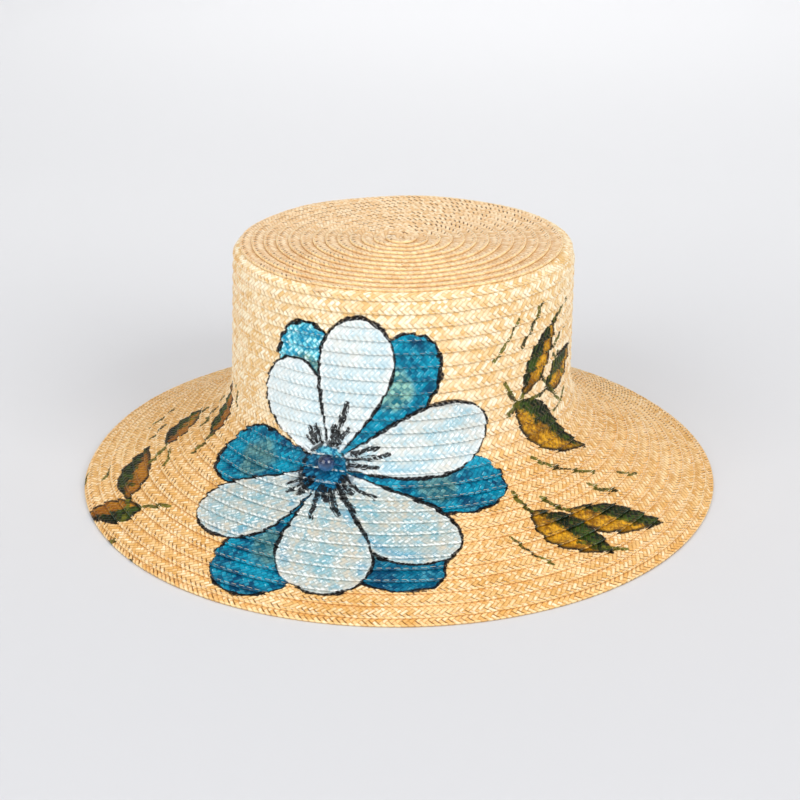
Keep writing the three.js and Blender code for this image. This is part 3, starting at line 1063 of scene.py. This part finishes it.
def sewing_thread(name, first, last, material, painted=True):
    """The running stitches that hold each turn of the braid to the one under it."""
    stitch, gap, thickness = 3.1, 1.0, 0.13
    share = np.array([0.0, 0.1, 0.35, 0.65, 0.9, 1.0])
    start, end = np.interp([first, last], TURN_TABLE, LENGTH_TABLE)
    count = int((end - start) // (stitch + gap))
    begin = start + (stitch + gap) * np.arange(count)[:, None, None]
    wound = begin + stitch * share[None, :, None]
    turns = np.interp(wound, LENGTH_TABLE, TURN_TABLE)
    around = 4
    angle = 2 * math.pi * (np.arange(around) + 0.5) / around
    size = thickness * np.array([0.5, 1, 1, 1, 1, 0.5])[None, :, None]
    drift = 0.14 * np.sin(begin * 1.7) + 0.1 * np.sin(begin * 0.31)
    across = BRAID_WIDTH - 1.0 + drift + size * np.cos(angle)
    azimuth, arc, out = row_surface(turns, across)
    lift = np.array([-0.45, 0.06, 0.14, 0.14, 0.06, -0.45])[None, :, None]
    points = on_hat(azimuth, arc, out + lift + size * np.sin(angle))
    rings = share.size
    single = tube_faces(rings, around)
    first_corner = rings * around * np.arange(count)[:, None, None]
    quads = (single[None] + first_corner).reshape(-1, 4)
    ends = np.array(tube_ends(rings, around))
    quads = np.concatenate([quads, (ends[None] + first_corner).reshape(-1, 4)])
    piece = new_mesh(name, points, quads)
    if painted:
        degrees = np.degrees(azimuth + 0 * arc).reshape(-1)
        for layer, columns in paint_layers(degrees, arc.reshape(-1)).items():
            set_vector(piece, layer, columns)
    cells = math.ceil(math.sqrt(count))
    each = len(single)
    i = np.arange(count)[:, None, None]
    ring = (np.arange(each) // around)[None, :, None]
    place = (np.arange(each) % around)[None, :, None]
    u = (i % cells + 0.1 + 0.8 * (ring + np.array([0, 0, 1, 1])) / (rings - 1)) / cells
    v = (i // cells + 0.1 + 0.8 * (place + np.array([0, 1, 1, 0])) / around) / cells
    set_uv(piece, u, v, 2 * around * count, 0.001)
    piece.data.materials.append(material)
    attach(piece, "root")


def make_stitches():
    colors = (238, 222, 186), (248, 238, 212)
    sewing_thread("tip_stitches", 0, TIP_TURNS, thread_material("thread", *colors), painted=False)
    cotton = thread_material("painted_thread", *colors, painted=True)
    brim_start = TIP_TURNS + SIDE_ROWS
    sewing_thread("side_stitches", TIP_TURNS, brim_start, cotton)
    sewing_thread("brim_stitches", brim_start, LAST_SEAM, cotton)


def make_sweatband():
    """The ribbon inside the crown's foot, with its ends lapped at the back."""
    lap_turns = 1.02
    rings = 900
    part = np.linspace(0, lap_turns, rings)[:, None]
    azimuth = math.pi - 2 * math.pi * part
    lines = 14  # mesh lines across each face
    width = np.concatenate([np.linspace(0, 1, lines), np.linspace(1, 0, lines)])[None, :] * RIBBON_WIDTH
    inner_face = (np.arange(2 * lines) < lines)[None, :]
    arc = WALL_END + RIBBON_INTO_CREASE - RIBBON_WIDTH + width
    lapped = np.clip((part - 0.975) / 0.02, 0, 1)
    lapped = lapped * lapped * (3 - 2 * lapped)
    braid_depth = LAYER * BRAID_WIDTH / TRUE_SIDE_PITCH + BRAID_THICKNESS
    ease = 0.35 * (1 + wave(azimuth, width, 5, 9.0)) * np.sin(math.pi * width / RIBBON_WIDTH)
    back = -braid_depth - 0.3 - 0.85 * lapped - ease
    out = back - np.where(inner_face, 0.55, 0.0)
    points = on_hat(azimuth, arc, out)
    around = width.size
    quads = tube_faces(rings, around)
    piece = new_mesh("ribbon_sweatband", points, quads, tube_ends(rings, around))
    length = 2 * math.pi * (CROWN_FOOT_RADIUS - braid_depth - 0.6) * lap_turns
    set_vector(piece, "ribbon", (part * length / RIB_PITCH, width, 0.0))
    strip_uv(piece, rings, around, length, 2 * RIBBON_WIDTH, 2 * around)
    ride_as(piece, "ribbon", ribbon_material(), "sweatband")
    flat = (RIBBON_WIDTH * MM, length * MM)


def seat_matrix(azimuth_degrees, arc, lift):
    """A frame on the hat's surface in millimetres: x along the row, z straight out."""
    azimuth = math.radians(azimuth_degrees)
    low, high = on_hat(np.array([azimuth]), np.array([arc]), np.array([[0.0], [1.0]]))[:, 0]
    z = Vector(high - low).normalized()
    x = Vector((math.cos(azimuth), math.sin(azimuth), 0))
    y = z.cross(x).normalized()
    turn = Matrix((y.cross(z), y, z)).transposed()
    return turn, Vector(low) + z * lift


def placed(points, seat):
    turn, origin = seat
    return points.reshape(-1, 3) @ np.array(turn).T + np.array(origin)


def make_bead():
    seat = seat_matrix(BEAD_AZIMUTH, BEAD_ARC, BEAD_RADIUS + 0.3)
    pole = math.asin((BEAD_BORE_RADIUS + 0.15) / BEAD_RADIUS)
    polar = np.linspace(pole, math.pi - pole, 40)
    half_bore = BEAD_RADIUS * math.cos(pole)
    lips = np.array([[half_bore - 0.1, BEAD_BORE_RADIUS], [-half_bore + 0.1, BEAD_BORE_RADIUS]])
    outside = BEAD_RADIUS * np.stack([np.cos(polar), np.sin(polar)], axis=-1)
    section = np.concatenate([lips[:1], outside, lips[1:]])
    around = 48
    turn = np.linspace(0, 2 * math.pi, around, endpoint=False)[:, None]
    x = section[:, 0] + 0 * turn
    points = np.stack([x, section[:, 1] * np.cos(turn), section[:, 1] * np.sin(turn)], axis=-1)
    quads = tube_faces(around + 1, len(section)) % (around * len(section))
    piece = new_mesh("pearl_bead", placed(points, seat), quads[:, ::-1])
    ride_as(piece, "pearl", pearl_material(seat[1].z), "bead")


def make_bead_thread():
    """Two strands twisted together, from the braid through the bore and back into the braid."""
    seat = seat_matrix(BEAD_AZIMUTH, BEAD_ARC, BEAD_RADIUS + 0.3)
    reach = BEAD_RADIUS + 1.6
    low = -BEAD_RADIUS
    half = [(-reach - 0.4, low - 0.4), (-reach, low / 2), (-reach + 1.4, 0.0)]
    knots = half + [(0.0, 0.0)] + [(-x, z) for x, z in half[::-1]]
    route = smooth_line(knots)
    along = np.concatenate([[0.0], np.cumsum(np.linalg.norm(np.diff(route, axis=0), axis=1))])
    way = np.gradient(route, axis=0)
    way /= np.linalg.norm(way, axis=1)[:, None]
    around = 16
    angle = 2 * math.pi * np.arange(around) / around
    twist = angle[None, :] + along[:, None] * 1.6
    size = THREAD_RADIUS * (0.74 + 0.24 * np.abs(np.cos(twist)))
    side, up = size * np.sin(angle), size * np.cos(angle)
    x = route[:, :1] - way[:, 1:] * up
    z = route[:, 1:] + way[:, :1] * up
    points = np.stack([x, side, z], axis=-1)
    rings = len(route)
    quads, ends = tube_faces(rings, around), tube_ends(rings, around)
    piece = new_mesh("bead_thread_twist", placed(points, seat), quads, ends)
    blue = thread_material("bead_thread", (16, 48, 84), (40, 84, 124))
    ride_as(piece, "thread", blue, "bead_thread")


def make_splice_end(material):
    """The cut end of a braid length: three flat straws fanned out and curling up a little."""
    seat = seat_matrix(SPLICE_AZIMUTH, SPLICE_ARC, 0.3)
    rings = 12
    above = [(-0.4, 0.09), (0, 0.12), (0.4, 0.09)]
    section = np.array([(-0.72, 0), *above, (0.72, 0), (0.4, -0.09), (-0.4, -0.09)])
    around = len(section)
    share = np.linspace(0, 1, rings)[:, None]
    straws = ((0.1, 5.4, -1.0), (-0.06, 4.7, 0.1), (-0.3, 5.6, 1.0))  # slant, length, place to the side
    points, quads, caps, columns = [], [], [], []
    for number, (slant, length, side) in enumerate(straws):
        width = 1 - 0.25 * share**3
        x = -2.6 + length * share + 0.3 * section[:, 0] * share**4
        y = side + slant * (length * share) + section[:, 0] * width
        z = 0.28 + 0.1 * number + 0.55 * share**2 + section[:, 1]
        first = number * rings * around
        points.append(np.stack(np.broadcast_arrays(x, y, z), axis=-1).reshape(-1, 3))
        quads.append(tube_faces(rings, around)[:, ::-1] + first)
        caps += [first + end[::-1] for end in tube_ends(rings, around)]
        # each straw gets a number of its own in the plait's coordinates, and runs along them
        own = 31.5 + 7 * number + 0.4 * section[:, 0]
        columns.append(np.stack(np.broadcast_arrays(own, 20 + 2 * share), axis=-1).reshape(-1, 2))
    piece = new_mesh("straw_splice_end", placed(np.concatenate(points), seat), np.concatenate(quads), caps)
    columns = np.concatenate(columns)
    set_vector(piece, "plait", (columns[:, 0], columns[:, 1], 2.0))
    set_number(piece, "relief", 0 * columns[:, 0])
    ride_as(piece, "straw_tip", material, "braid_splice_end")


make_braid()
make_stitches()
make_sweatband()
make_bead()
make_bead_thread()
make_splice_end(straw_material("straw_loose_end"))


# ---------------------------------------------------------------- the stage


def add_light(name, kind, place, power):
    light = bpy.data.objects.new(name, bpy.data.lights.new(name, kind))
    light.data.energy = power
    light.location = place
    bpy.context.scene.collection.objects.link(light)
    return light


def area_light(name, place, target, size, power):
    light = add_light(name, "AREA", place, power)
    light.data.shape = "SQUARE"
    light.data.size = size
    light.rotation_euler = (Vector(target) - Vector(place)).to_track_quat("-Z", "Y").to_euler()


def studio_floor():
    """A round sweep of pale paper: flat in the middle, curving up to a wall all round."""
    flat, bend, top = 2200.0, 900.0, 2600.0
    around = 96
    turn = np.linspace(0, math.pi / 2, 13)
    radii = np.concatenate([[1.0, 400.0, 1200.0], flat + bend * np.sin(turn), [flat + bend]])
    heights = np.concatenate([[0.0, 0.0, 0.0], bend * (1 - np.cos(turn)), [top]])
    angle = np.linspace(0, 2 * math.pi, around, endpoint=False)
    points = np.stack(
        [radii[:, None] * np.cos(angle), radii[:, None] * np.sin(angle), heights[:, None] + 0 * angle],
        axis=-1,
    )
    points[..., 2] -= 0.05  # just under the brim
    floor = new_mesh("studio_floor", points, tube_faces(len(radii), around), [np.arange(around)[::-1]])
    floor.data.flip_normals()
    floor.data.materials.append(floor_material())


def studio():
    studio_floor()
    area_light("key_left", (-1.2, -1.3, 1.0), (0, 0, 0.06), 1.5, 22)
    area_light("key_right", (1.35, -1.45, 1.2), (0, 0, 0.06), 1.2, 29)
    area_light("top", (0.2, -0.1, 2.3), (0, 0, 0), 2.0, 9)
    spot = add_light("backdrop_light", "SPOT", (0.2, 2.1, 2.4), 110).data
    spot.spot_size = math.radians(88)
    spot.spot_blend = 1.0
    spot.shadow_soft_size = 0.3
    world = bpy.data.worlds.new("studio_world")
    world.use_nodes = True
    world.node_tree.nodes["Background"].inputs["Color"].default_value = (0.97, 0.98, 1.0, 1)
    world.node_tree.nodes["Background"].inputs["Strength"].default_value = 0.56
    bpy.context.scene.world = world
    bpy.context.scene.view_settings.view_transform = "Standard"


def studio_camera():
    data = bpy.data.cameras.new("camera")
    data.sensor_width = 36
    data.lens = 62.99
    data.clip_start = 0.01
    camera = bpy.data.objects.new("camera", data)
    place = (0.002855, -0.7143, 0.3465)
    pitch, yaw, roll = 0.409, 0.003, -0.005
    turned = Matrix.Rotation(yaw, 4, "Z") @ Matrix.Rotation(math.pi / 2 - pitch, 4, "X")
    turned = turned @ Matrix.Rotation(roll, 4, "Z")
    camera.matrix_world = Matrix.Translation(place) @ turned
    bpy.context.scene.collection.objects.link(camera)
    bpy.context.scene.camera = camera


studio_camera()
studio()
